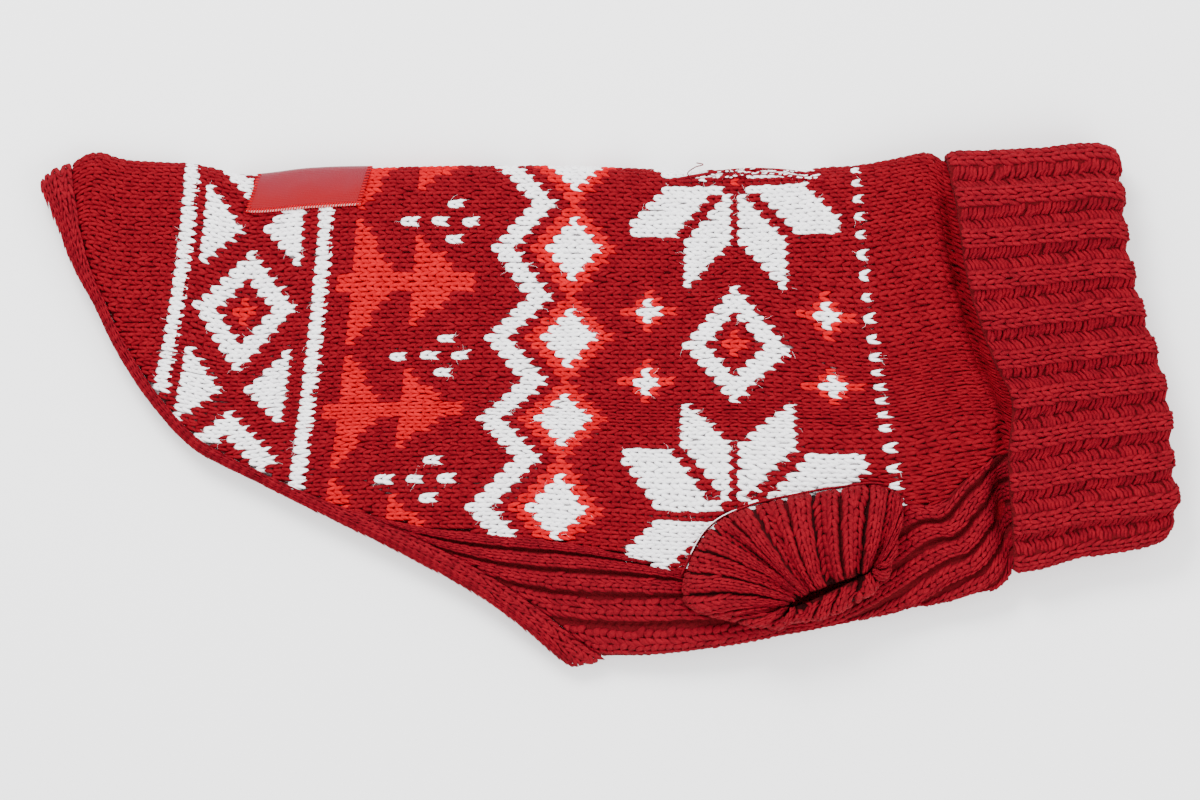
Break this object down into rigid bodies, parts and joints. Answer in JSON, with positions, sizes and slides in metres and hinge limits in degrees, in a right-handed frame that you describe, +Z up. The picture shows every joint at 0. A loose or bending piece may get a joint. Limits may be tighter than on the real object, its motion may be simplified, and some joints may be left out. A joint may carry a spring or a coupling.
{
  "type": "small dog's knitted christmas sweater, laid flat on its side",
  "caption": "Knitted pet sweater lying on its side: patterned back panel, ribbed belly panel, turned-down ribbed collar, short ribbed leg sleeves and an open rear hem.",
  "frame": {"origin": "on the floor under the middle of the laid-out sweater", "axes": "+X towards the collar, +Y towards the spine fold, +Z up from the surface it lies on"},
  "size_m": [0.3984, 0.183, 0.0285],
  "materials": {
    "knit": "fuzzy jacquard knit, deep red with bright red and off-white motifs",
    "rib": "fuzzy deep red rib knit",
    "satin": "woven red satin label, blank, stitched border"
  },
  "bodies": {
    "root": {"back_panel": "knit", "belly_panel": "rib", "rear_band": "rib", "collar": "rib", "sleeve_near": "rib", "sleeve_far": "rib", "label": "satin"}
  },
  "joints": []
}
